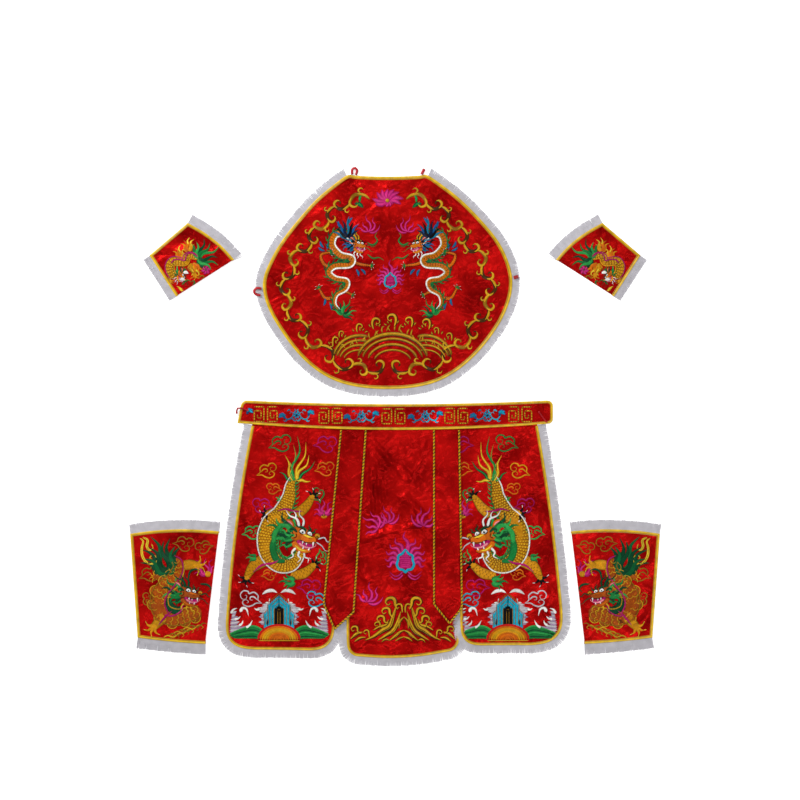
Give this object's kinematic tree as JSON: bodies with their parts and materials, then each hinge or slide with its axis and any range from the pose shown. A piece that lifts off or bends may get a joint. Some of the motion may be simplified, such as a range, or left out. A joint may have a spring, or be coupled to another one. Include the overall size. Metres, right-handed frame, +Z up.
{
  "type": "spirit medium costume set of apron bib, panel skirt, leg guards and cuffs, laid flat",
  "caption": "Embroidered red satin ritual costume laid flat: a round bib, a skirt of fringed panels on a waistband, folded leg guards and folded cuffs.",
  "frame": {"origin": "on the surface it lies on, under the middle of the whole layout", "axes": "+X to the right of the layout, +Y towards the neck of the bib, +Z up from the surface"},
  "size_m": [1.3534, 1.2478, 0.0098],
  "materials": {
    "satin": "red satin, glossy",
    "binding": "golden yellow tape",
    "fringe": "pale grey thread",
    "rope": "twisted gold and black cord",
    "loop": "dark red rouleau"
  },
  "bodies": {
    "root": {"bib_panel": "satin", "waistband": "satin", "skirt_panel_left": "satin", "skirt_panel_centre": "satin", "skirt_panel_right": "satin", "ribbon_left": "satin", "ribbon_right": "satin", "leg_guard_left_panel": "satin", "leg_guard_right_panel": "satin", "cuff_left_panel": "satin", "cuff_right_panel": "satin", "bib_binding": "binding", "waistband_binding": "binding", "skirt_binding_left": "binding", "skirt_binding_centre": "binding", "skirt_binding_right": "binding", "leg_guard_left_binding": "binding", "leg_guard_right_binding": "binding", "cuff_left_binding": "binding", "cuff_right_binding": "binding", "bib_fringe": "fringe", "skirt_fringe_left": "fringe", "skirt_fringe_centre": "fringe", "skirt_fringe_right": "fringe", "leg_guard_left_fringe_low": "fringe", "leg_guard_left_fringe_high": "fringe", "leg_guard_right_fringe_low": "fringe", "leg_guard_right_fringe_high": "fringe", "cuff_left_fringe_low": "fringe", "cuff_left_fringe_high": "fringe", "cuff_right_fringe_low": "fringe", "cuff_right_fringe_high": "fringe", "ribbon_rope_left": "rope", "ribbon_rope_right": "rope", "bib_loop_neck_left": "loop", "bib_loop_neck_right": "loop", "bib_loop_side_left": "loop", "bib_loop_side_right": "loop", "waist_tie_left": "loop", "waist_tie_right": "loop"}
  },
  "joints": []
}
